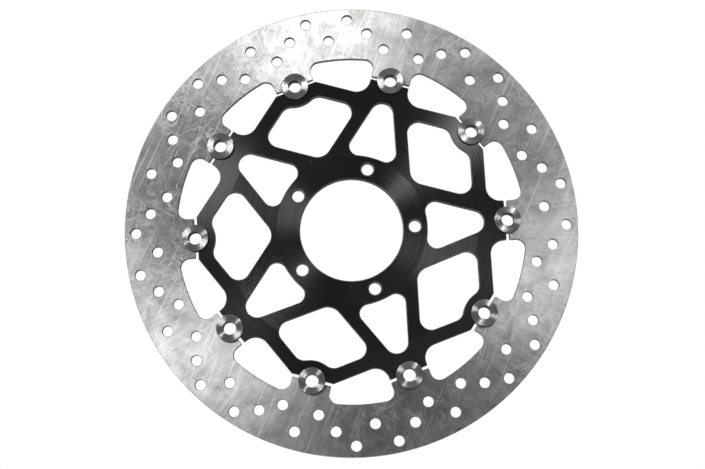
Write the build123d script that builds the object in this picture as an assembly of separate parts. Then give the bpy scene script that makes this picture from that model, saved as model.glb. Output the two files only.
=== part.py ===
from build123d import *
import os
from math import cos, degrees, hypot, radians, sin

# Floating motorcycle brake disc, lying flat: +Z runs along the disc axis towards the bobbin heads.
# The origin is on the axis, in the back face of the carrier's hub ring, which bolts to the wheel.
# Lengths are in mm and angles in degrees, counted from +X.

# Friction band
band_r = 160.0            # outside radius
band_thick = 4.5
slot_r = 123.4            # outer wall of the slots between the lugs
slot_corner_r = 6.4
band_edge = 0.4           # chamfer on the rim, slots and lugs
drill_r = 3.75
drill_edge = 0.35
drill_rows = [152.0, 142.5, 132.5, 147.5, 137.5]
drill_pattern = [0, 4, 0, 1, 2, 3, 2, 1]
drill_repeats = 8
drill_phase = 1.3

# Lugs and the half-round notches that hold the bobbins
bobbin_count = 10
bobbin_circle_r = 110.5
bobbin_phase = 75.5
lug_half = 14.1           # half the width of a lug
band_lug_end = 110.75     # distance of the band's lug ends from the axis
carrier_lug_end = 108.75
notch_r = 7.06
lug_corner_r = 0.8

# Carrier: a flat hub ring, coned arms and a flat outer rim
arm_sets = 5
carrier_thick = 5.0
carrier_dish = 3.5        # how far the outer rim stands in front of the hub ring
bore_r = 36.5
bore_edge = 0.6           # on the front face only
hub_flat_r = 53.3         # the cone starts here and ends at the rim's inner radius
rim_flat_r = 89.0
bolt_circle_r = 45.0
bolt_hole_r = 4.25
bolt_edge = 0.9           # on the front face only
bar_outer = 96.9          # edges of the straight outer bars, measured square to the bar
bar_inner = 87.25
bar_corner_r = 10.0       # where a bar runs into the lug between two triangles
arm_turn = 71.4           # direction of the normal of an arm's edges
arm_near = 35.5           # edges of the arms, measured square to the arm
arm_far = 44.6
hub_window_r = 54.0       # inner wall of the triangular windows
tip_corner_r = 8.2
hub_corner_r = 6.8
kite_side_r = 8.0
kite_inner_r = 10.3
seat_bulge_r = 19.8       # the rim bulges inwards behind every other bobbin
seat_bulge_centre = 115.9
seat_corner_r = 8.3

# Bobbins and what holds them at the back
shank_r = 7.0
head_r = 9.45
head_thick = 1.9
head_edge = 0.8
bobbin_bore_r = 4.5
bore_mouth = 0.6
head_gap = 0.05           # play under the head
spring_in, spring_out = 7.1, 9.2
spring_thick, spring_height = 0.35, 0.6
washer_in, washer_out, washer_thick = 7.05, 9.3, 0.6
clip_thick = 0.8
clip_play = 0.05
groove_r = 6.4
clip_in, clip_out = 6.42, 8.3
clip_gap = 50.0           # opening of the retaining ring
clip_eye_r, clip_hole_r = 1.2, 0.55
tail = 0.45
tail_edge = 0.3

# Heights that follow from the dimensions above
hub_top = carrier_thick
rim_back = carrier_dish
rim_top = carrier_dish + carrier_thick
band_mid = (rim_back + rim_top) / 2
head_base = rim_top + head_gap
head_top = head_base + head_thick
spring_top = rim_back - head_gap
washer_top = spring_top - spring_height
clip_top = washer_top - washer_thick - clip_play
clip_base = clip_top - clip_thick
bobbin_base = clip_base - clip_play - tail


def polar(radius, angle):
    """Point in the plane at a radius and an angle."""
    return (radius * cos(radians(angle)), radius * sin(radians(angle)))


def meet(turn_a, dist_a, turn_b, dist_b):
    """Point where two lines cross, each given by its normal's angle and its distance from the axis."""
    scale = sin(radians(turn_b - turn_a))
    x = (dist_a * sin(radians(turn_b)) - dist_b * sin(radians(turn_a))) / scale
    y = (dist_b * cos(radians(turn_a)) - dist_a * cos(radians(turn_b))) / scale
    return (x, y)


def corners_at(shape, radius, tolerance=0.3):
    """Corners of a flat shape that lie at a radius from the axis."""
    return [v for v in shape.vertices() if abs(hypot(v.X, v.Y) - radius) < tolerance]


def around(shape, count, phase):
    """Copies of a shape, evenly spaced about the axis."""
    return [Rot(0, 0, phase + 360 * i / count) * shape for i in range(count)]


def turned(points):
    """Solid of revolution about Z from a closed (radius, height) outline."""
    return revolve(Plane.XZ * Polygon(*points, align=None), Axis.Z)


def edged_hole(radius, edge, low, high):
    """Cutter for a drilled hole with a chamfer at both mouths."""
    over = 1.0
    wide = radius + edge + over
    return turned([(0, low - over), (wide, low - over), (radius, low + edge),
                   (radius, high - edge), (wide, high + over), (0, high + over)])


def notches():
    """Round seats for the bobbins, cut from the carrier and from the band alike."""
    seat = Pos(bobbin_circle_r, 0) * Circle(notch_r)
    return around(seat, bobbin_count, bobbin_phase)


def lug(inner, outer):
    """Straight-sided lug along +X."""
    return Pos((inner + outer) / 2, 0) * Rectangle(outer - inner, 2 * lug_half)


def brake_band():
    """Steel friction band with its lugs, slots and drilled holes."""
    overlap = 3.0
    plan = Circle(band_r) - Circle(slot_r)
    plan += around(lug(band_lug_end, slot_r + overlap), bobbin_count, bobbin_phase)
    plan = fillet(corners_at(plan, slot_r), slot_corner_r)
    plan = fillet(corners_at(plan, hypot(band_lug_end, lug_half)), lug_corner_r)
    plan -= notches()
    low = band_mid - band_thick / 2
    high = band_mid + band_thick / 2
    solid = Pos(0, 0, low) * extrude(plan, band_thick)
    faces = solid.faces().sort_by(Axis.Z)
    solid = chamfer(faces[0].edges() + faces[-1].edges(), band_edge)
    hole = edged_hole(drill_r, drill_edge, low, high)
    step = 360 / (drill_repeats * len(drill_pattern))
    drilled = []
    for i in range(drill_repeats * len(drill_pattern)):
        row = drill_rows[drill_pattern[i % len(drill_pattern)]]
        x, y = polar(row, drill_phase + step * i)
        drilled.append(Pos(x, y) * hole)
    return solid - drilled


def triangle_window():
    """Window between two arms, pointing along +X, with a round base beside the hub ring."""
    start = hub_window_r - 25.0
    side = (arm_near - start * cos(radians(arm_turn))) / sin(radians(arm_turn))
    tip = (arm_near / cos(radians(arm_turn)), 0)
    window = Polygon(tip, (start, side), (start, -side), align=None) - Circle(hub_window_r)
    window = fillet(corners_at(window, tip[0]), tip_corner_r)
    return fillet(corners_at(window, hub_window_r), hub_corner_r)


def kite_window():
    """Four-sided window along +X, with the seat of a bobbin bulging into its outer corner."""
    half_turn = 180 / arm_sets
    inner = (arm_far / cos(radians(arm_turn - half_turn)), 0)
    outer = (bar_inner / cos(radians(half_turn)), 0)
    right = meet(-half_turn, bar_inner, arm_turn - half_turn, arm_far)
    left = (right[0], -right[1])
    window = Polygon(inner, right, outer, left, align=None)
    window -= Pos(seat_bulge_centre, 0) * Circle(seat_bulge_r)
    side_r = hypot(*right)
    beside_seat = [v for v in window.vertices() if v.X > right[0] + 1]
    window = fillet(beside_seat, seat_corner_r)
    window = fillet(corners_at(window, side_r), kite_side_r)
    return fillet(corners_at(window, inner[0]), kite_inner_r)


def carrier_plan():
    """Outline of the carrier seen along the axis, with its windows and bobbin notches."""
    step = 360 / arm_sets
    bar_corner = bar_outer / cos(radians(step / 2))
    cut_corner = carrier_lug_end / cos(radians(step / 2))
    kite_axis = bobbin_phase + step / 2
    bars = Polygon(*[polar(bar_corner, kite_axis + step * i) for i in range(arm_sets)], align=None)
    ends = Polygon(*[polar(cut_corner, bobbin_phase + step * i) for i in range(arm_sets)], align=None)
    plan = bars & ends
    plan += around(lug(bar_inner, carrier_lug_end), arm_sets, bobbin_phase)
    plan = fillet(corners_at(plan, hypot(bar_outer, lug_half)), bar_corner_r)
    plan = fillet(corners_at(plan, 109.7), lug_corner_r)
    plan -= notches()
    plan -= around(triangle_window(), arm_sets, bobbin_phase)
    plan -= around(kite_window(), arm_sets, kite_axis)
    return plan


def carrier():
    """Dished aluminium carrier: hub ring, arms, outer bars and lugs."""
    far = carrier_lug_end + 10
    section = turned([(bore_r, 0), (hub_flat_r, 0), (rim_flat_r, rim_back), (far, rim_back),
                      (far, rim_top), (rim_flat_r, rim_top), (hub_flat_r, hub_top),
                      (bore_r + bore_edge, hub_top), (bore_r, hub_top - bore_edge)])
    over = 1.0
    solid = section & (Pos(0, 0, -over) * extrude(carrier_plan(), rim_top + 2 * over))
    over_edge = bolt_hole_r + bolt_edge + over
    cutter = turned([(0, -over), (bolt_hole_r, -over), (bolt_hole_r, hub_top - bolt_edge),
                     (over_edge, hub_top + over), (0, hub_top + over)])
    return solid - around(Pos(bolt_circle_r, 0) * cutter, arm_sets, bobbin_phase)


def bobbin():
    """Hollow flanged bobbin with a groove for its retaining ring, standing on the axis."""
    return turned([(bobbin_bore_r, bobbin_base), (shank_r - tail_edge, bobbin_base),
                   (shank_r, bobbin_base + tail_edge), (shank_r, clip_base - clip_play),
                   (groove_r, clip_base - clip_play), (groove_r, clip_top + clip_play),
                   (shank_r, clip_top + clip_play), (shank_r, head_base), (head_r, head_base),
                   (head_r, head_top - head_edge), (head_r - head_edge, head_top),
                   (bobbin_bore_r + bore_mouth, head_top), (bobbin_bore_r, head_top - bore_mouth)])


def spring_washer():
    """Dished spring washer, high at its outer edge."""
    rise = spring_height - spring_thick
    low = washer_top
    return turned([(spring_in, low), (spring_out, low + rise),
                   (spring_out, low + rise + spring_thick), (spring_in, low + spring_thick)])


def flat_washer():
    """Flat washer between the spring washer and the retaining ring."""
    low = washer_top - washer_thick
    return turned([(washer_in, low), (washer_out, low), (washer_out, washer_top), (washer_in, washer_top)])


def retaining_ring():
    """Open ring with two plier eyes, sprung into the bobbin's groove."""
    ring = Circle(clip_out) - Circle(clip_in)
    eye_circle = clip_out - clip_eye_r / 2
    reach = 2 * clip_out
    mouth = Polygon((0, 0), polar(reach, clip_gap / 2), polar(reach, -clip_gap / 2), align=None)
    ring -= mouth
    for side in (1, -1):
        x, y = polar(eye_circle, side * (clip_gap / 2 + degrees(clip_eye_r / eye_circle)))
        eye = Pos(x, y) * Circle(clip_eye_r) - Circle(clip_in)
        ring = ring + eye - Pos(x, y) * Circle(clip_hole_r)
    return Pos(0, 0, clip_base) * extrude(ring, clip_thick)


def write(name, shape):
    """Write one node's file."""
    export_step(shape, os.path.join("parts", name + ".step"))


os.makedirs("parts", exist_ok=True)
write("brake_band", brake_band())
write("carrier", carrier())
stack = {"bobbin": bobbin(), "spring_washer": spring_washer(), "flat_washer": flat_washer(),
         "retaining_ring": retaining_ring()}
for i in range(bobbin_count):
    for piece, shape in stack.items():
        placed = Rot(0, 0, bobbin_phase + 360 * i / bobbin_count) * Pos(bobbin_circle_r, 0) * shape
        write(f"{piece}_{i + 1:02d}", placed)
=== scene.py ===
import math

import bmesh
import bpy
from bpy.props import FloatProperty, FloatVectorProperty, IntProperty, PointerProperty
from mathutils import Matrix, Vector


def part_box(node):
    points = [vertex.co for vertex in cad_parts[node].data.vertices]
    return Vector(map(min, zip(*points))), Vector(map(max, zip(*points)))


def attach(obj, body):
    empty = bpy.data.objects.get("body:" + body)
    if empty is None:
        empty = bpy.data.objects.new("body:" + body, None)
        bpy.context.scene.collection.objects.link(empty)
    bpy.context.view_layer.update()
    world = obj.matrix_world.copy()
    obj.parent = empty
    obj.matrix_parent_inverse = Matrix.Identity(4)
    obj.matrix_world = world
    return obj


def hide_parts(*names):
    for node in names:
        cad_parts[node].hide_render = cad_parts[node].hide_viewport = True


bl_info = {
    "name": "Floating brake disc",
    "version": (1, 0, 0),
    "blender": (4, 5, 0),
    "location": "View3D > Sidebar > Disc",
    "description": "Finishes and detail for a floating motorcycle brake disc",
    "category": "Object",
}

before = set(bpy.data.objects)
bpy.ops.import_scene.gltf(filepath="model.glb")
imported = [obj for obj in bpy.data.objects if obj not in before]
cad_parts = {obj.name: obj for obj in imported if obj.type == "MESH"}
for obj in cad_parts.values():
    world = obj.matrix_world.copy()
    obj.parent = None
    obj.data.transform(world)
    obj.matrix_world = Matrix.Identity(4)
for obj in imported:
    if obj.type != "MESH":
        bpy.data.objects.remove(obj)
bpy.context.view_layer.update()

# The bobbins stand evenly round the disc, the first at this angle from +X
BOBBINS = 10
FIRST_BOBBIN = math.radians(75.5)
BOBBIN_STEP = math.tau / BOBBINS

# How far a face's normal rises: less than this on a wall, more than this on a face that lies
# flat or nearly so
WALL = 0.1
FLAT = 0.9

# Lathe sizes of a bobbin, in metres. The rim of its head and its two ends come from the CAD box.
HEAD_THICKNESS = 0.0019
HEAD_CHAMFER = 0.0003
HEAD_OVERHANG = 0.00245      # from the shank out to the rim
FACE_WIDTH = 0.00495         # from the bore out to the rim
BORDER = 0.0008              # from the rim in to the border line
BORDER_WIDTH = 0.0004
BORDER_DEPTH = 0.0001
BORE_MOUTH = 0.0006          # chamfer of the bore
GROOVE_WIDTH = 0.00026
GROOVE_MARGIN = 0.0004       # plain metal beside the first and the last groove
TAIL_EDGE = 0.0003
CLIP_GROOVE_LOW = 0.00045    # the retaining ring's groove, above the tail
CLIP_GROOVE_HIGH = 0.00135
CLIP_GROOVE_DEPTH = 0.0006

# Only the walls of the band inside this radius are dark. Its ground outer rim stays bright.
DARK_WALLS = (0.1585, 0.1592)

LIGHT_DISTANCE = 0.95        # from the middle of the disc to each soft box
SENSOR_WIDTH = 36.0
CAMERA_PLACE = (-0.00575, -0.1758, 1.1459)
CAMERA_TURN = (math.radians(8.593), math.radians(-0.321), 0)


def length(name, default, description):
    """A size that is shown in the panel, in metres."""
    return FloatProperty(name=name, default=default, description=description,
                         unit="LENGTH", subtype="DISTANCE", precision=5)


def share(name, default, description):
    """A number from 0 to 1."""
    return FloatProperty(name=name, default=default, description=description,
                         min=0, max=1, subtype="FACTOR")


def colour(name, default, description):
    """A colour that is shown in the panel."""
    return FloatVectorProperty(name=name, default=default, description=description,
                               subtype="COLOR", min=0, max=1)


class BandSettings(bpy.types.PropertyGroup):
    steel: colour("Steel", (0.66, 0.655, 0.64), "Colour of the ground steel")
    dark_steel: colour("Dark steel", (0.27, 0.27, 0.265), "Colour where wiping marks dull the steel")
    cut_steel: colour("Cut steel", (0.12, 0.118, 0.115), "Colour of the walls of slots and holes")
    roughness: share("Roughness", 0.42, "How far the grinding lines spread a reflection")
    line_spacing: length("Line spacing", 0.0008, "Distance between the grinding lines")
    smudge_size: length("Smudge size", 0.020, "Size of the wiping marks")


class CarrierSettings(bpy.types.PropertyGroup):
    anodising: colour("Anodising", (0.008, 0.008, 0.0085), "Colour of the black anodising")
    worn_and_sheen: colour("Worn edge and painted sheen", (0.36, 0.36, 0.365), "Colour where the anodising is thin on the edges")
    # This colour is worn metal on the edges and also a painted sheen on the chamfers
    roughness: share("Roughness", 0.25, "Sheen of the anodising")
    edge: length("Edge", 0.00045, "Width of the chamfer along the windows and the outline")
    line_spacing: length("Line spacing", 0.0009, "Distance between the turning marks")


class BobbinSettings(bpy.types.PropertyGroup):
    steel: colour("Steel", (0.56, 0.555, 0.545), "Colour of the turned steel")
    # Painted shade: this colour darkens the bore and the walls of the head and the shank
    dark_steel: colour("Dark steel", (0.08, 0.079, 0.077), "Colour of the bore and of the head's rim")
    roughness: share("Roughness", 0.34, "How far the turning marks spread a reflection")
    grooves: IntProperty(name="Grooves", default=4, min=0, max=8,
                         description="Turned grooves on the head")
    groove_depth: length("Groove depth", 0.00005, "Depth of the grooves on the head")
    edge: length("Edge", 0.00012, "Width of the broken edges")
    steps: IntProperty(name="Steps", default=96, min=24, max=192,
                       description="Steps in a full turn")


class StageSettings(bpy.types.PropertyGroup):
    floor: colour("Floor", (1.0, 1.0, 1.0), "Colour of the floor")
    floor_size: length("Floor size", 12.0, "Width of the floor")
    overhead: FloatProperty(name="Overhead", default=0.06, min=0, max=2,
                            description="Brightness of the room straight above the disc")
    walls: FloatProperty(name="Walls", default=0.45, min=0, max=2,
                         description="Brightness of the room near the horizon")
    underneath: FloatProperty(name="Underneath", default=0.30, min=0, max=2,
                              description="Brightness that reaches the back through the floor")
    key_light: FloatProperty(name="Key light", default=4.0, min=0, max=200, unit="POWER",
                             description="Power of the large soft box on the left")
    side_light: FloatProperty(name="Side light", default=2.7, min=0, max=200, unit="POWER",
                              description="Power of the narrow soft box on the right")
    fill_light: FloatProperty(name="Fill light", default=0.2, min=0, max=200, unit="POWER",
                              description="Power of the soft box above the camera")
    back_light: FloatProperty(name="Back light", default=2.0, min=0, max=200, unit="POWER",
                              description="Power of the soft box that lights the back of the disc")
    lens: FloatProperty(name="Lens", default=83.3, min=10, max=300, unit="CAMERA",
                        description="Focal length of the camera")


class DiscSettings(bpy.types.PropertyGroup):
    band: PointerProperty(type=BandSettings)
    carrier: PointerProperty(type=CarrierSettings)
    bobbin: PointerProperty(type=BobbinSettings)
    stage: PointerProperty(type=StageSettings)


def put(tree, kind, plugs=(), **settings):
    """Add a node, set it up, and fill its sockets with values or links."""
    node = tree.nodes.new("ShaderNode" + kind)
    for name, value in settings.items():
        setattr(node, name, value)
    for key, value in dict(plugs).items():
        if isinstance(value, bpy.types.NodeSocket):
            tree.links.new(value, node.inputs[key])
        else:
            node.inputs[key].default_value = value
    return node


def maths(tree, operation, *values):
    """A Math node's result."""
    return put(tree, "Math", enumerate(values), operation=operation).outputs[0]


def vectors(tree, operation, *values):
    """A Vector Math node's result."""
    node = put(tree, "VectorMath", enumerate(values), operation=operation)
    return node.outputs["Value" if operation == "LENGTH" else "Vector"]


def noise(tree, vector, scale, detail=3.0, roughness=0.55, distortion=0.0):
    """Noise over a vector, about 0 to 1."""
    return put(tree, "TexNoise", {"Vector": vector, "Scale": scale, "Detail": detail,
                                  "Roughness": roughness, "Distortion": distortion}).outputs[0]


def between(tree, value, low, high, new_low=0.0, new_high=1.0):
    """Stretch a value from one span to another, held inside it."""
    return put(tree, "MapRange", {0: value, 1: low, 2: high, 3: new_low, 4: new_high},
               clamp=True).outputs[0]


def blend(tree, factor, first, second, how="MIX"):
    """Mix two colours."""
    node = put(tree, "Mix", {0: factor}, data_type="RGBA", blend_type=how)
    for socket, value in ((node.inputs[6], first), (node.inputs[7], second)):
        if isinstance(value, bpy.types.NodeSocket):
            tree.links.new(value, socket)
        else:
            socket.default_value = (*value, 1)
    return node.outputs[2]


def brighten(tree, base, factor):
    """Multiply a colour by a value that changes over the surface."""
    grey = put(tree, "CombineColor", {0: factor, 1: factor, 2: factor}).outputs[0]
    return blend(tree, 1.0, base, grey, "MULTIPLY")


def relief(tree, shader, height, strength, depth):
    """Fine relief on a finish."""
    bump = put(tree, "Bump", {"Strength": strength, "Distance": depth, "Height": height})
    tree.links.new(bump.outputs[0], shader.inputs["Normal"])


def grain_round_axis(tree, shader):
    """Measure the direction of the grain from the disc's axis, so its shine fans out from there."""
    grain = put(tree, "Tangent", direction_type="RADIAL", axis="Z").outputs[0]
    tree.links.new(grain, shader.inputs["Tangent"])


def new_group(name, takes, gives):
    """An empty shader node group with named sockets: (tree, its inputs, its output node)."""
    tree = bpy.data.node_groups.new(name, "ShaderNodeTree")
    for socket, (kind, default) in takes.items():
        made = tree.interface.new_socket(socket, in_out="INPUT", socket_type="NodeSocket" + kind)
        if default is not None:
            made.default_value = default
    for socket, kind in gives.items():
        tree.interface.new_socket(socket, in_out="OUTPUT", socket_type="NodeSocket" + kind)
    start = tree.nodes.new("NodeGroupInput")
    end = tree.nodes.new("NodeGroupOutput")
    return tree, start.outputs, end


def radial_lines_group():
    """Lines that run out from the disc's axis, as face grinding leaves them."""
    tree, given, end = new_group("Radial lines", {
        "Vector": ("Vector", None), "Spacing": ("Float", 0.001), "Length": ("Float", 0.03)},
        {"Lines": "Float"})
    flat = vectors(tree, "MULTIPLY", given["Vector"], (1, 1, 0))
    radius = vectors(tree, "LENGTH", flat)
    outwards = vectors(tree, "NORMALIZE", flat)
    middle_of_band = 0.14
    ring = maths(tree, "DIVIDE", middle_of_band, given["Spacing"])
    around = put(tree, "VectorMath", {0: outwards, "Scale": ring}, operation="SCALE").outputs[0]
    along = put(tree, "CombineXYZ", {2: maths(tree, "DIVIDE", radius, given["Length"])}).outputs[0]
    place = vectors(tree, "ADD", around, along)
    fine = noise(tree, place, 1.0, detail=2.0, roughness=0.7)
    broad = noise(tree, place, 0.23, detail=2.0, roughness=0.6)
    both = maths(tree, "ADD", maths(tree, "MULTIPLY", fine, 0.75),
                 maths(tree, "MULTIPLY", broad, 0.25))
    tree.links.new(both, end.inputs["Lines"])
    return tree


def rings_group():
    """Turning marks round an axis, from the distance to it."""
    tree, given, end = new_group("Turning marks", {
        "Vector": ("Vector", None), "Radius": ("Float", 0.0), "Spacing": ("Float", 0.001)},
        {"Rings": "Float"})
    across = maths(tree, "DIVIDE", given["Radius"], given["Spacing"])
    slow = put(tree, "VectorMath", {0: given["Vector"], "Scale": 12.0}, operation="SCALE").outputs[0]
    place = vectors(tree, "ADD", slow, put(tree, "CombineXYZ", {2: across}).outputs[0])
    rings = noise(tree, place, 1.0, detail=3.0, roughness=0.65)
    tree.links.new(rings, end.inputs["Rings"])
    return tree


def disc_radius_group():
    """Distance from the disc's axis."""
    tree, given, end = new_group("Disc radius", {"Vector": ("Vector", None)}, {"Radius": "Float"})
    flat = vectors(tree, "MULTIPLY", given["Vector"], (1, 1, 0))
    tree.links.new(vectors(tree, "LENGTH", flat), end.inputs["Radius"])
    return tree


def bobbin_radius_group(circle_radius):
    """Distance from the axis of the nearest bobbin."""
    tree, given, end = new_group("Bobbin radius", {"Vector": ("Vector", None)}, {"Radius": "Float"})
    parts = put(tree, "SeparateXYZ", {0: given["Vector"]}).outputs
    turn = maths(tree, "ARCTAN2", parts[1], parts[0])
    steps = maths(tree, "DIVIDE", maths(tree, "SUBTRACT", turn, FIRST_BOBBIN), BOBBIN_STEP)
    angle = maths(tree, "MULTIPLY_ADD", maths(tree, "ROUND", steps), BOBBIN_STEP, FIRST_BOBBIN)
    x = maths(tree, "MULTIPLY", maths(tree, "COSINE", angle), circle_radius)
    y = maths(tree, "MULTIPLY", maths(tree, "SINE", angle), circle_radius)
    centre = put(tree, "CombineXYZ", {0: x, 1: y}).outputs[0]
    flat = vectors(tree, "MULTIPLY", given["Vector"], (1, 1, 0))
    tree.links.new(vectors(tree, "LENGTH", vectors(tree, "SUBTRACT", flat, centre)),
                   end.inputs["Radius"])
    return tree


def smudges_group():
    """Soft wiping marks, and thin curved wisps that come and go over them."""
    tree, given, end = new_group("Wiping marks", {
        "Vector": ("Vector", None), "Size": ("Float", 0.02)}, {"Cloud": "Float", "Wisps": "Float"})
    scale = maths(tree, "DIVIDE", 1.0, given["Size"])
    layers = []
    # Direction of the wisps in radians, how far they are drawn out, how fine and how wide they are
    for turn, stretch, fineness, width in ((-0.25, 2.6, 1.0, 0.030), (-1.0, 2.0, 1.7, 0.040),
                                           (0.9, 2.2, 2.6, 0.050)):
        place = put(tree, "Mapping", {"Vector": given["Vector"], "Rotation": (0, 0, turn),
                                      "Location": (turn, fineness, 0), "Scale": (1.0, stretch, 1.0)},
                    vector_type="TEXTURE").outputs[0]
        fine = maths(tree, "MULTIPLY", scale, fineness)
        level = noise(tree, place, fine, detail=4.0, roughness=0.5, distortion=1.2)
        off = maths(tree, "ABSOLUTE", maths(tree, "SUBTRACT", level, 0.5))
        strokes = between(tree, off, 0.0, width, 1.0, 0.0)
        patches = noise(tree, place, maths(tree, "MULTIPLY", fine, 0.8), detail=2.0)
        layers.append(maths(tree, "MULTIPLY", strokes, between(tree, patches, 0.42, 0.66)))
    wisps = maths(tree, "MAXIMUM", maths(tree, "MAXIMUM", layers[0], layers[1]), layers[2])
    broad = noise(tree, given["Vector"], maths(tree, "MULTIPLY", scale, 0.35), detail=2.0)
    wisps = maths(tree, "MULTIPLY", wisps, between(tree, broad, 0.36, 0.56, 0.15, 1.0))
    cloud = noise(tree, given["Vector"], scale, detail=5.0, roughness=0.62, distortion=0.8)
    tree.links.new(between(tree, cloud, 0.32, 0.68), end.inputs["Cloud"])
    tree.links.new(wisps, end.inputs["Wisps"])
    return tree


def scratches_group():
    """Sparse straight scratches and broader strokes in a few directions."""
    tree, given, end = new_group("Scratches", {
        "Vector": ("Vector", None), "Amount": ("Float", 0.5)}, {"Scratches": "Float"})
    layers = []
    # Direction in radians, width and reach in metres, and how rare they are
    for turn, width, reach, rare in ((-0.42, 0.0022, 0.075, 0.62), (-0.30, 0.0009, 0.06, 0.66),
                                     (0.75, 0.0008, 0.05, 0.69), (-1.2, 0.0008, 0.05, 0.69)):
        place = put(tree, "Mapping", {"Vector": given["Vector"], "Rotation": (0, 0, turn),
                                      "Location": (rare, turn, 0), "Scale": (width, reach, 1.0)},
                    vector_type="TEXTURE").outputs[0]
        lines = noise(tree, place, 1.0, detail=1.0, roughness=0.4)
        layers.append(between(tree, lines, rare, rare + 0.10))
    strongest = maths(tree, "MAXIMUM", maths(tree, "MAXIMUM", layers[0], layers[1]),
                      maths(tree, "MAXIMUM", layers[2], layers[3]))
    tree.links.new(maths(tree, "MULTIPLY", strongest, given["Amount"]), end.inputs["Scratches"])
    return tree


def tilt_group():
    """Mask that is 1 on faces whose normal rises between two values: 0 is a wall, 1 lies flat."""
    tree, given, end = new_group("Face tilt", {
        "Lowest": ("Float", 0.5), "Highest": ("Float", 0.9)}, {"Mask": "Float"})
    normal = put(tree, "SeparateXYZ", {0: put(tree, "TexCoord").outputs["Normal"]}).outputs[2]
    rise = maths(tree, "ABSOLUTE", normal)
    over = maths(tree, "GREATER_THAN", rise, given["Lowest"])
    under = maths(tree, "LESS_THAN", rise, given["Highest"])
    tree.links.new(maths(tree, "MULTIPLY", over, under), end.inputs["Mask"])
    return tree


def edge_wear_and_sheen_group():
    """Mask that is 1 on edges and chamfers and 0 on faces, broken up a little: worn edges, and a
    painted sheen on the chamfers.
    """
    tree, given, end = new_group("Edge wear and painted sheen", {
        "Vector": ("Vector", None), "Width": ("Float", 0.0004)}, {"Mask": "Float"})
    rounded = put(tree, "Bevel", {"Radius": given["Width"]}, samples=4).outputs[0]
    plain = put(tree, "NewGeometry").outputs["Normal"]
    turned = put(tree, "VectorMath", {0: rounded, 1: plain}, operation="DOT_PRODUCT").outputs["Value"]
    edge = between(tree, maths(tree, "SUBTRACT", 1.0, turned), 0.02, 0.2)
    # The chamfers, found by their tilt, get a painted sheen where they would reflect the bright room;
    # the rounded edges stand for real wear
    mask = maths(tree, "MAXIMUM", edge, use(tree, "tilt", {"Lowest": 0.5, "Highest": 0.85}))
    patches = between(tree, noise(tree, given["Vector"], 160.0), 0.35, 0.6, 0.35, 1.0)
    tree.links.new(maths(tree, "MULTIPLY", mask, patches), end.inputs["Mask"])
    return tree


groups = {}


def use(tree, name, plugs, output=0):
    """Place a shared group in a material and return one of its outputs."""
    return put(tree, "Group", plugs, node_tree=groups[name]).outputs[output]


def new_material(name, base, **sockets):
    """A material with only a Principled shader: (material, tree, shader)."""
    material = bpy.data.materials.new(name)
    material.use_nodes = True
    tree = material.node_tree
    tree.nodes.clear()
    shader = put(tree, "BsdfPrincipled",
                 {key.replace("_", " "): value for key, value in sockets.items()})
    shader.inputs["Base Color"].default_value = (*base, 1)
    end = put(tree, "OutputMaterial")
    tree.links.new(shader.outputs[0], end.inputs["Surface"])
    material.diffuse_color = (*base, 1)
    return material, tree, shader


def ground_steel(sizes):
    """Steel ground in lines that run outwards, then wiped."""
    material, tree, shader = new_material("Ground steel", sizes.steel, Metallic=1.0, Anisotropic=0.8)
    link = tree.links.new
    wisp_colour = (0.90, 0.90, 0.89)
    scratch_colour = (0.85, 0.85, 0.84)
    place = put(tree, "TexCoord").outputs["Object"]
    lines = use(tree, "lines", {"Vector": place, "Spacing": sizes.line_spacing, "Length": 0.045})
    cloud = use(tree, "smudges", {"Vector": place, "Size": sizes.smudge_size})
    wisps = use(tree, "smudges", {"Vector": place, "Size": sizes.smudge_size}, "Wisps")
    scratches = use(tree, "scratches", {"Vector": place, "Amount": 0.65})
    tone = blend(tree, maths(tree, "MULTIPLY", cloud, 0.8), sizes.steel, sizes.dark_steel)
    tone = brighten(tree, tone, between(tree, lines, 0.35, 0.65, 0.80, 1.12))
    tone = blend(tree, maths(tree, "MULTIPLY", wisps, 0.75), tone, wisp_colour)
    tone = blend(tree, scratches, tone, scratch_colour)
    inside = between(tree, use(tree, "radius", {"Vector": place}), *DARK_WALLS, 1.0, 0.0)
    wall = maths(tree, "MULTIPLY", inside, use(tree, "tilt", {"Lowest": -1.0, "Highest": 0.5}))
    tone = blend(tree, maths(tree, "MULTIPLY", wall, 0.9), tone, sizes.cut_steel)
    link(tone, shader.inputs["Base Color"])
    rough = maths(tree, "MULTIPLY_ADD", cloud, 0.06, sizes.roughness - 0.03)
    rough = maths(tree, "MULTIPLY_ADD", wisps, 0.16, rough)
    rough = maths(tree, "MULTIPLY_ADD", scratches, 0.12, rough)
    link(rough, shader.inputs["Roughness"])
    grain_round_axis(tree, shader)
    scuffs = maths(tree, "MULTIPLY", noise(tree, place, 900.0, detail=2.0),
                   maths(tree, "ADD", wisps, cloud))
    height = maths(tree, "ADD", maths(tree, "MULTIPLY", lines, 0.6), scuffs)
    relief(tree, shader, height, strength=0.5, depth=0.0001)
    return material


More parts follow.
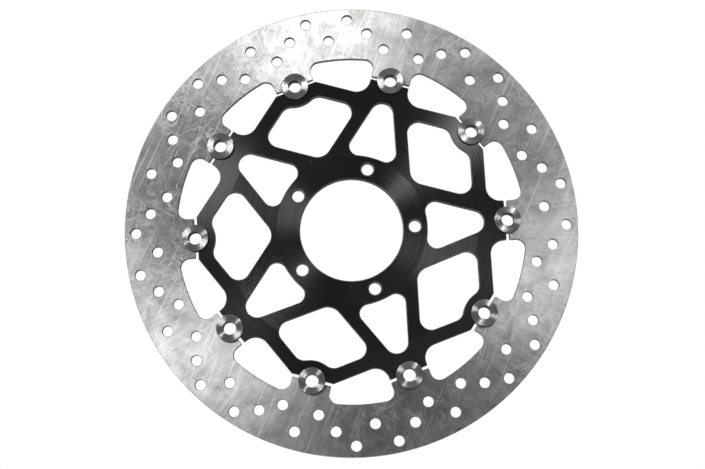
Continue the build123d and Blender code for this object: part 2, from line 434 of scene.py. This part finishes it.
def black_anodising(sizes):
    """Satin black anodised aluminium over turning marks."""
    material, tree, shader = new_material("Black anodised aluminium", sizes.anodising,
                                          Anisotropic=0.92, Anisotropic_Rotation=0.25,
                                          Specular_IOR_Level=0.8)
    link = tree.links.new
    paler = tuple(1.9 * part for part in sizes.anodising)
    dust_colour = (0.16, 0.16, 0.16)
    place = put(tree, "TexCoord").outputs["Object"]
    radius = use(tree, "radius", {"Vector": place})
    rings = use(tree, "rings", {"Vector": place, "Radius": radius, "Spacing": sizes.line_spacing})
    patches = noise(tree, place, 45.0, detail=4.0)
    worn_and_sheen = use(tree, "wear_and_sheen", {"Vector": place, "Width": 0.0005})
    tone = blend(tree, between(tree, patches, 0.35, 0.7, 0.0, 0.5), sizes.anodising, paler)
    # Only a few of the cells hold a speck of dust
    cells = put(tree, "TexVoronoi", {"Vector": place, "Scale": 210.0, "Randomness": 1.0}).outputs
    chance = put(tree, "SeparateColor", {0: cells["Color"]}).outputs[0]
    picked = between(tree, chance, 0.972, 0.975)
    dot = between(tree, cells["Distance"], 0.05, 0.11, 1.0, 0.0)
    tone = blend(tree, maths(tree, "MULTIPLY", picked, dot), tone, dust_colour)
    # Worn edges show paler metal, and the chamfers get a painted sheen in the same pale colour
    tone = blend(tree, maths(tree, "MULTIPLY", worn_and_sheen, 0.8), tone, sizes.worn_and_sheen)
    link(tone, shader.inputs["Base Color"])
    link(maths(tree, "MULTIPLY", worn_and_sheen, 0.7), shader.inputs["Metallic"])
    rough = between(tree, rings, 0.3, 0.7, sizes.roughness - 0.03, sizes.roughness + 0.04)
    link(rough, shader.inputs["Roughness"])
    grain_round_axis(tree, shader)
    grain = noise(tree, place, 2600.0, detail=1.0)
    height = maths(tree, "ADD", rings, maths(tree, "MULTIPLY", grain, 0.35))
    relief(tree, shader, height, strength=0.25, depth=0.00003)
    return material


def turned_steel(sizes):
    """Bright steel with tool marks round each bobbin, and painted shade on its walls."""
    material, tree, shader = new_material("Turned steel", sizes.steel, Metallic=0.85,
                                          Anisotropic=1.0, Anisotropic_Rotation=0.25)
    link = tree.links.new
    duller = tuple(0.6 * part for part in sizes.steel)
    place = put(tree, "TexCoord").outputs["Object"]
    radius = use(tree, "bobbin", {"Vector": place})
    rings = use(tree, "rings", {"Vector": place, "Radius": radius, "Spacing": 0.00055})
    cloud = use(tree, "smudges", {"Vector": place, "Size": 0.006})
    tone = brighten(tree, sizes.steel, between(tree, rings, 0.32, 0.68, 0.62, 1.18))
    tone = blend(tree, maths(tree, "MULTIPLY", cloud, 0.25), tone, duller)
    # Painted shade: the bore, the rim of the head and the shank are darkened to stand in for the
    # shade inside the bore and the dark crescent of shade beside the head
    wall = use(tree, "tilt", {"Lowest": -1.0, "Highest": 0.5})
    tone = blend(tree, maths(tree, "MULTIPLY", wall, 0.9), tone, sizes.dark_steel)
    link(tone, shader.inputs["Base Color"])
    rough = maths(tree, "MULTIPLY_ADD", cloud, 0.05, sizes.roughness - 0.03)
    link(rough, shader.inputs["Roughness"])
    grain_round_axis(tree, shader)
    relief(tree, shader, rings, strength=0.3, depth=0.00002)
    return material


def plain_steel(name, base, roughness, tint):
    """Steel of a small pressed part, with patches of another tint, worn edges and a painted sheen on
    its chamfers.
    """
    material, tree, shader = new_material(name, base, Metallic=1.0)
    link = tree.links.new
    bare_steel_and_sheen = (0.62, 0.61, 0.60)
    place = put(tree, "TexCoord").outputs["Object"]
    cloud = use(tree, "smudges", {"Vector": place, "Size": 0.004})
    worn_and_sheen = use(tree, "wear_and_sheen", {"Vector": place, "Width": 0.0002})
    grain = noise(tree, place, 3000.0, detail=2.0)
    tone = blend(tree, maths(tree, "MULTIPLY", cloud, 0.6), base, tint)
    # Edges and chamfers turn pale: partly wear, partly a painted sheen
    tone = blend(tree, maths(tree, "MULTIPLY", worn_and_sheen, 0.5), tone, bare_steel_and_sheen)
    link(tone, shader.inputs["Base Color"])
    link(maths(tree, "MULTIPLY_ADD", grain, 0.2, roughness - 0.1), shader.inputs["Roughness"])
    relief(tree, shader, grain, strength=0.2, depth=0.00003)
    return material


def give(thing, material):
    """Put one material on a whole object."""
    thing.data.materials.clear()
    thing.data.materials.append(material)


def new_piece(name, shape, material, body, slot, *nodes):
    """Turn a bmesh into a named piece that stands for CAD nodes on a body."""
    mesh = bpy.data.meshes.new(name)
    shape.to_mesh(mesh)
    shape.free()
    piece = bpy.data.objects.new(name, mesh)
    bpy.context.scene.collection.objects.link(piece)
    give(piece, material)
    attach(piece, body)
    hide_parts(*nodes)


def mark_sharp(shape, crease, flat_crease):
    """Smooth shading, crisp at creases, and at gentler ones between faces that lie almost flat."""
    for face in shape.faces:
        face.smooth = True
    for edge in shape.edges:
        if len(edge.link_faces) != 2:
            continue
        angle = edge.calc_face_angle(0.0)
        lying = all(abs(face.normal.z) > FLAT for face in edge.link_faces)
        edge.smooth = angle < (flat_crease if lying else crease)


class DISC_OT_shared_groups(bpy.types.Operator):
    """Make the node groups that the finishes share"""
    bl_idname = "disc.shared_groups"
    bl_label = "Shared finish groups"

    def execute(self, context):
        low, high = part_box("bobbin_01")
        centre = (low + high) / 2
        groups["lines"] = radial_lines_group()
        groups["rings"] = rings_group()
        groups["radius"] = disc_radius_group()
        groups["bobbin"] = bobbin_radius_group(math.hypot(centre.x, centre.y))
        groups["smudges"] = smudges_group()
        groups["scratches"] = scratches_group()
        groups["tilt"] = tilt_group()
        groups["wear_and_sheen"] = edge_wear_and_sheen_group()
        return {"FINISHED"}


class DISC_OT_band(bpy.types.Operator):
    """Finish the friction band as ground steel"""
    bl_idname = "disc.band"
    bl_label = "Friction band"

    def execute(self, context):
        give(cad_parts["brake_band"], ground_steel(context.scene.disc.band))
        return {"FINISHED"}


class DISC_OT_carrier(bpy.types.Operator):
    """Break the edges of the carrier and finish it in black"""
    bl_idname = "disc.carrier"
    bl_label = "Carrier"

    def execute(self, context):
        sizes = context.scene.disc.carrier
        shape = bmesh.new()
        shape.from_mesh(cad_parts["carrier"].data)
        bmesh.ops.remove_doubles(shape, verts=shape.verts, dist=2e-6)
        bmesh.ops.dissolve_limit(shape, angle_limit=math.radians(0.3),
                                 verts=shape.verts, edges=shape.edges)
        rims = []
        for edge in shape.edges:
            if len(edge.link_faces) != 2:
                continue
            tilts = sorted(abs(face.normal.z) for face in edge.link_faces)
            if tilts[0] < WALL and tilts[1] > FLAT:
                rims.append(edge)
        bmesh.ops.bevel(shape, geom=rims, offset=sizes.edge, offset_type="OFFSET", affect="EDGES",
                        segments=1, profile=0.5, material=-1, clamp_overlap=False, loop_slide=True)
        mark_sharp(shape, crease=math.radians(28), flat_crease=math.radians(3))
        new_piece("carrier_plate", shape, black_anodising(sizes), "carrier",
                  "black_anodised", "carrier")
        return {"FINISHED"}


def groove(middle, top, width, depth):
    """Three (radius, height) points of a V-shaped groove in the head."""
    return [(middle + width / 2, top), (middle, top - depth), (middle - width / 2, top)]


def bobbin_outline(sizes, low, high, rim):
    """Closed (radius, height) outline of a bobbin, from its two ends and the radius of its rim."""
    shank = rim - HEAD_OVERHANG
    bore = rim - FACE_WIDTH
    under_head = high - HEAD_THICKNESS
    clip_low, clip_high = low + CLIP_GROOVE_LOW, low + CLIP_GROOVE_HIGH
    clip_floor = shank - CLIP_GROOVE_DEPTH
    outline = [(bore, low), (shank - TAIL_EDGE, low), (shank, low + TAIL_EDGE), (shank, clip_low),
               (clip_floor, clip_low), (clip_floor, clip_high), (shank, clip_high),
               (shank, under_head), (rim, under_head), (rim, high - HEAD_CHAMFER),
               (rim - HEAD_CHAMFER, high)]
    outline += groove(rim - BORDER, high, BORDER_WIDTH, BORDER_DEPTH)
    first = rim - BORDER - GROOVE_MARGIN
    last = bore + BORE_MOUTH + GROOVE_MARGIN
    for i in range(sizes.grooves):
        middle = first + (last - first) * (i + 0.5) / sizes.grooves
        outline += groove(middle, high, GROOVE_WIDTH, sizes.groove_depth)
    return outline + [(bore + BORE_MOUTH, high), (bore, high - BORE_MOUTH)]


class DISC_OT_bobbins(bpy.types.Operator):
    """Turn the ten bobbins, with grooved heads and broken edges"""
    bl_idname = "disc.bobbins"
    bl_label = "Bobbins"

    def execute(self, context):
        sizes = context.scene.disc.bobbin
        material = turned_steel(sizes)
        for i in range(1, BOBBINS + 1):
            node = f"bobbin_{i:02d}"
            low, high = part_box(node)
            centre = (low + high) / 2
            shape = bmesh.new()
            outline = bobbin_outline(sizes, low.z, high.z, (high.x - low.x) / 2)
            corners = [shape.verts.new((centre.x + r, centre.y, z)) for r, z in outline]
            edges = [shape.edges.new((a, b)) for a, b in zip(corners, corners[1:] + corners[:1])]
            bmesh.ops.spin(shape, geom=corners + edges, cent=(centre.x, centre.y, 0), axis=(0, 0, 1),
                           angle=math.tau, steps=sizes.steps, use_merge=True)
            bmesh.ops.remove_doubles(shape, verts=shape.verts, dist=1e-6)
            bmesh.ops.recalc_face_normals(shape, faces=shape.faces)
            turns = [edge for edge in shape.edges if edge.calc_face_angle(0.0) > math.radians(40)]
            bmesh.ops.bevel(shape, geom=turns, offset=sizes.edge, offset_type="OFFSET",
                            affect="EDGES", segments=2, profile=0.5, material=-1, clamp_overlap=True)
            # Where two broken edges meet, the empty strip between them is closed
            bmesh.ops.remove_doubles(shape, verts=shape.verts, dist=1e-6)
            mark_sharp(shape, crease=math.radians(24), flat_crease=math.radians(8))
            new_piece(f"turned_bobbin_{i:02d}", shape, material, node, "turned_steel", node)
        return {"FINISHED"}


class DISC_OT_small_parts(bpy.types.Operator):
    """Finish the spring washers, flat washers and retaining rings behind the bobbins"""
    bl_idname = "disc.small_parts"
    bl_label = "Washers and retaining rings"

    def execute(self, context):
        finishes = {
            "spring_washer": plain_steel("Spring steel", base=(0.23, 0.22, 0.21),
                                         roughness=0.38, tint=(0.14, 0.13, 0.15)),
            "flat_washer": plain_steel("Washer steel", base=(0.52, 0.515, 0.50),
                                       roughness=0.34, tint=(0.38, 0.375, 0.36)),
            "retaining_ring": plain_steel("Black ring steel", base=(0.05, 0.05, 0.05),
                                          roughness=0.45, tint=(0.09, 0.085, 0.08)),
        }
        for i in range(1, BOBBINS + 1):
            for part, finish in finishes.items():
                give(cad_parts[f"{part}_{i:02d}"], finish)
        return {"FINISHED"}


def soft_box(name, direction, width, depth, power):
    """An area light aimed at the middle of the disc, from a (bearing, height) in degrees."""
    bearing, height = (math.radians(angle) for angle in direction)
    place = Vector((math.cos(bearing) * math.cos(height), math.sin(bearing) * math.cos(height),
                    math.sin(height))) * LIGHT_DISTANCE
    data = bpy.data.lights.new(name, "AREA")
    data.shape = "RECTANGLE"
    data.size, data.size_y = width, depth
    data.energy = power
    lamp = bpy.data.objects.new(name, data)
    lamp.location = place
    lamp.rotation_euler = (-place).to_track_quat("-Z", "Y").to_euler()
    bpy.context.scene.collection.objects.link(lamp)


class DISC_OT_stage(bpy.types.Operator):
    """Lay the floor and set the lights and the camera"""
    bl_idname = "disc.stage"
    bl_label = "Stage"

    def execute(self, context):
        scene = context.scene
        sizes = scene.disc.stage
        shape = bmesh.new()
        bmesh.ops.create_grid(shape, x_segments=1, y_segments=1, size=sizes.floor_size / 2)
        mesh = bpy.data.meshes.new("floor")
        shape.to_mesh(mesh)
        shape.free()
        floor = bpy.data.objects.new("floor", mesh)
        scene.collection.objects.link(floor)

        # The floor shows only to the camera, from above. It is clear to everything else.
        material = bpy.data.materials.new("Pale floor")
        material.use_nodes = True
        tree = material.node_tree
        tree.nodes.clear()
        seen = put(tree, "LightPath").outputs["Is Camera Ray"]
        behind = put(tree, "NewGeometry").outputs["Backfacing"]
        shown = maths(tree, "MULTIPLY", seen, maths(tree, "SUBTRACT", 1.0, behind))
        clear = put(tree, "BsdfTransparent")
        glow = put(tree, "Emission", {0: (*sizes.floor, 1), 1: 1.0})
        sheet = put(tree, "MixShader", {0: shown, 1: clear.outputs[0], 2: glow.outputs[0]})
        put(tree, "OutputMaterial", {"Surface": sheet.outputs[0]})
        give(floor, material)

        # The room is dim overhead, with pale walls that are brighter on the left
        world = bpy.data.worlds.new("Studio")
        scene.world = world
        world.use_nodes = True
        tree = world.node_tree
        tree.nodes.clear()
        direction = put(tree, "TexCoord").outputs["Generated"]
        across, _, height = put(tree, "SeparateXYZ", {0: direction}).outputs
        room = maths(tree, "MULTIPLY", sizes.walls, between(tree, across, -0.7, 0.7, 1.6, 0.5))
        above = between(tree, height, 0.15, 0.6, 1.0, 0.0)
        below = between(tree, height, -0.6, -0.15, 0.0, 1.0)
        upper = between(tree, above, 0.0, 1.0, sizes.overhead, room)
        whole = between(tree, below, 0.0, 1.0, sizes.underneath, upper)
        dim = put(tree, "Background", {0: (1, 1, 1, 1), 1: whole})
        pale = put(tree, "Background", {0: (*sizes.floor, 1), 1: 1.0})
        seen = put(tree, "LightPath").outputs["Is Camera Ray"]
        sky = put(tree, "MixShader", {0: seen, 1: dim.outputs[0], 2: pale.outputs[0]})
        put(tree, "OutputWorld", {"Surface": sky.outputs[0]})

        soft_box("key light", (149, 52), 0.30, 0.30, sizes.key_light)
        soft_box("side light", (52, 47), 0.09, 0.60, sizes.side_light)
        soft_box("fill light", (300, 70), 0.40, 0.40, sizes.fill_light)
        soft_box("back light", (200, -50), 0.40, 0.40, sizes.back_light)

        data = bpy.data.cameras.new("camera")
        data.lens = sizes.lens
        data.sensor_width = SENSOR_WIDTH
        camera = bpy.data.objects.new("camera", data)
        camera.location = CAMERA_PLACE
        camera.rotation_euler = CAMERA_TURN
        scene.collection.objects.link(camera)
        scene.camera = camera
        scene.view_settings.view_transform = "Standard"
        return {"FINISHED"}


OPERATORS = (DISC_OT_shared_groups, DISC_OT_band, DISC_OT_carrier, DISC_OT_bobbins,
             DISC_OT_small_parts, DISC_OT_stage)


class DISC_PT_panel(bpy.types.Panel):
    """Lists the pieces of the disc and their sizes"""
    bl_label = "Brake disc"
    bl_idname = "DISC_PT_panel"
    bl_space_type = "VIEW_3D"
    bl_region_type = "UI"
    bl_category = "Disc"

    def draw(self, context):
        disc = context.scene.disc
        for title, sizes in (("Band", disc.band), ("Carrier", disc.carrier),
                             ("Bobbins", disc.bobbin), ("Stage", disc.stage)):
            box = self.layout.box()
            box.label(text=title)
            for name in sizes.__annotations__:
                box.prop(sizes, name)
        for operator in OPERATORS:
            self.layout.operator(operator.bl_idname)


CLASSES = (BandSettings, CarrierSettings, BobbinSettings, StageSettings, DiscSettings,
           *OPERATORS, DISC_PT_panel)


def register():
    """Add the settings, the operators and the panel."""
    for item in CLASSES:
        bpy.utils.register_class(item)
    bpy.types.Scene.disc = PointerProperty(type=DiscSettings)


def unregister():
    """Remove them again, last one first."""
    del bpy.types.Scene.disc
    for item in reversed(CLASSES):
        bpy.utils.unregister_class(item)


def main():
    """Build the disc and its stage."""
    register()
    bpy.ops.disc.shared_groups()
    bpy.ops.disc.band()
    bpy.ops.disc.carrier()
    bpy.ops.disc.bobbins()
    bpy.ops.disc.small_parts()
    bpy.ops.disc.stage()


if __name__ == "__main__":
    main()
